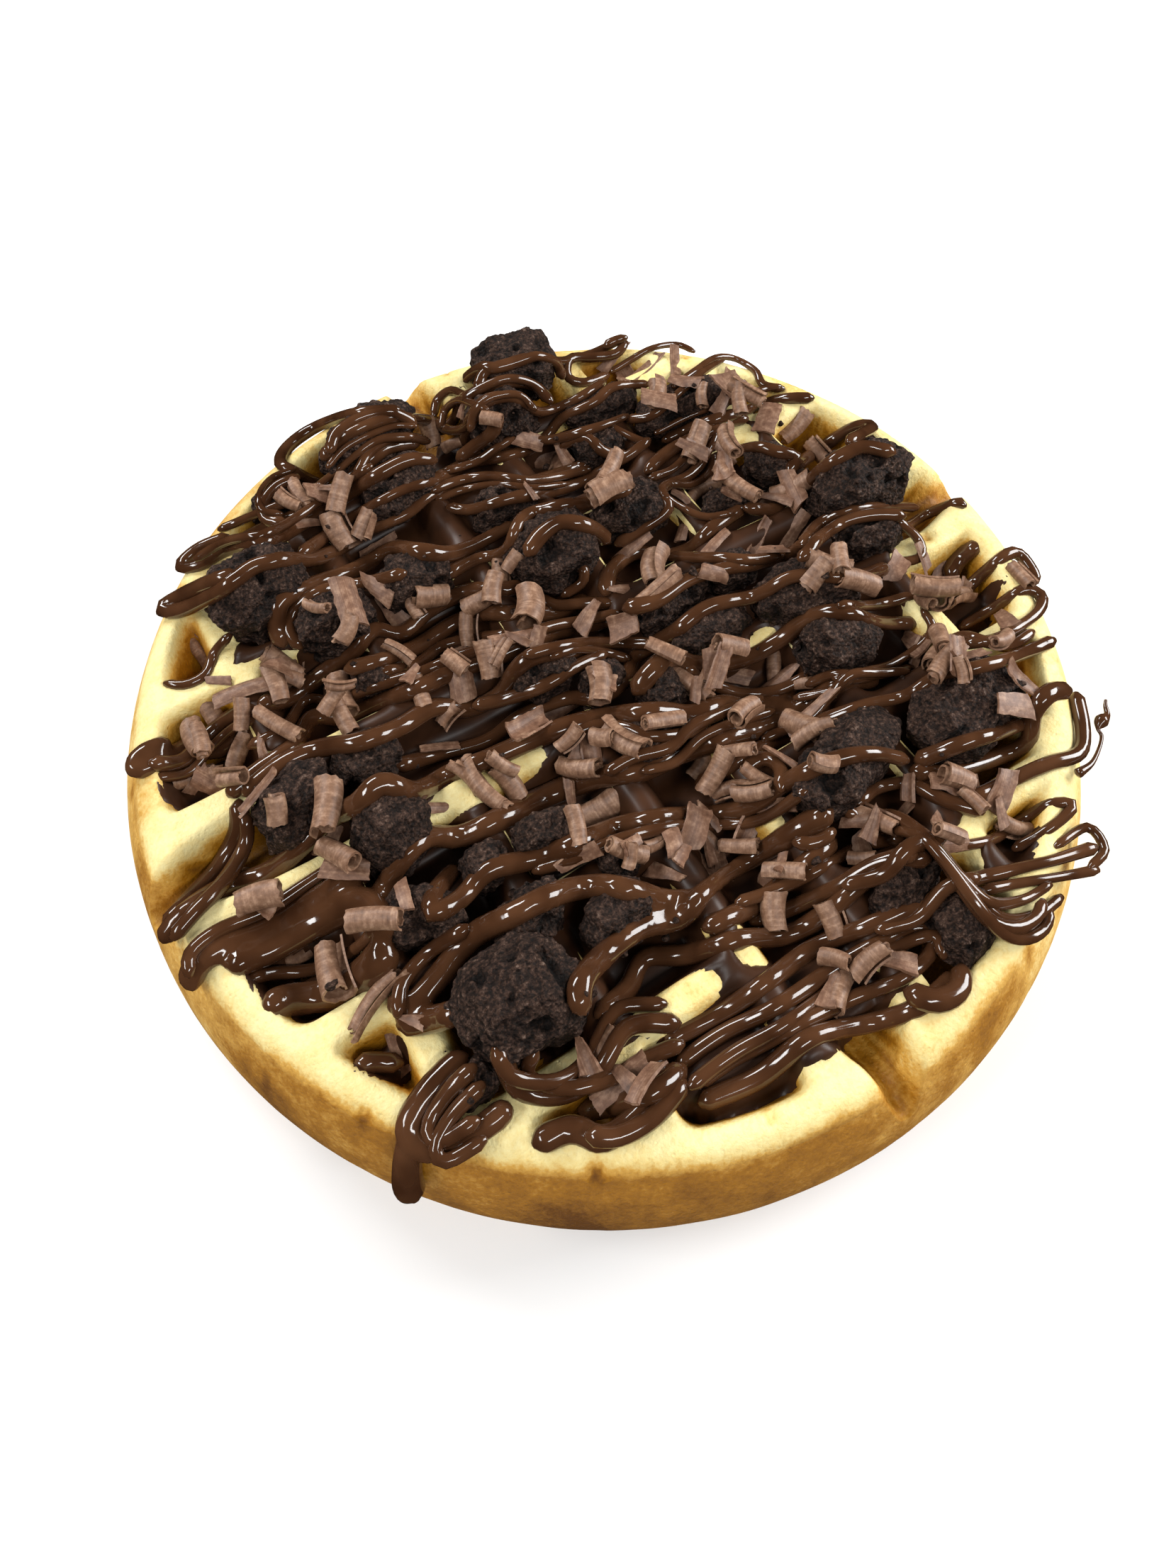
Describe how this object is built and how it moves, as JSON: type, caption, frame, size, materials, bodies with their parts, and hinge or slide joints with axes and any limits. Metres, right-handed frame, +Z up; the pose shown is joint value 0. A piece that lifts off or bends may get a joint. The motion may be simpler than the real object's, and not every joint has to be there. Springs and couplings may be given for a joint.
{
  "type": "belgian waffle",
  "caption": "Round Belgian waffle with dividing grooves, topped with brownie chunks, chocolate sauce and chocolate curls.",
  "frame": {"origin": "centre of the underside, on the surface the waffle rests on", "axes": "+Z up, +X and +Y along the two dividing grooves; the picture looks from -Y and -X"},
  "size_m": [0.18, 0.18, 0.0486],
  "materials": {
    "waffle": "baked batter, golden brown in the pockets and on the side, pale on the ridges; stands in for food",
    "brownie": "rough dark cake crumb; stands in for food",
    "sauce": "glossy thick chocolate sauce; stands in for food",
    "curls": "dull milk chocolate shavings; stands in for food"
  },
  "bodies": {
    "root": {"waffle": "waffle", "brownie_01": "brownie", "brownie_02": "brownie", "brownie_03": "brownie", "brownie_04": "brownie", "brownie_05": "brownie", "brownie_06": "brownie", "brownie_07": "brownie", "brownie_08": "brownie", "brownie_09": "brownie", "brownie_10": "brownie", "brownie_11": "brownie", "brownie_12": "brownie", "brownie_13": "brownie", "brownie_14": "brownie", "brownie_15": "brownie", "brownie_16": "brownie", "brownie_17": "brownie", "brownie_18": "brownie", "brownie_19": "brownie", "brownie_20": "brownie", "brownie_21": "brownie", "brownie_22": "brownie", "brownie_23": "brownie", "brownie_24": "brownie", "brownie_25": "brownie", "brownie_26": "brownie", "brownie_27": "brownie", "brownie_28": "brownie", "brownie_29": "brownie", "brownie_30": "brownie", "brownie_31": "brownie", "brownie_32": "brownie", "brownie_33": "brownie", "brownie_34": "brownie", "brownie_35": "brownie", "brownie_36": "brownie", "brownie_37": "brownie", "brownie_38": "brownie", "brownie_39": "brownie", "brownie_40": "brownie", "brownie_41": "brownie", "brownie_42": "brownie", "brownie_43": "brownie"}
  },
  "joints": []
}
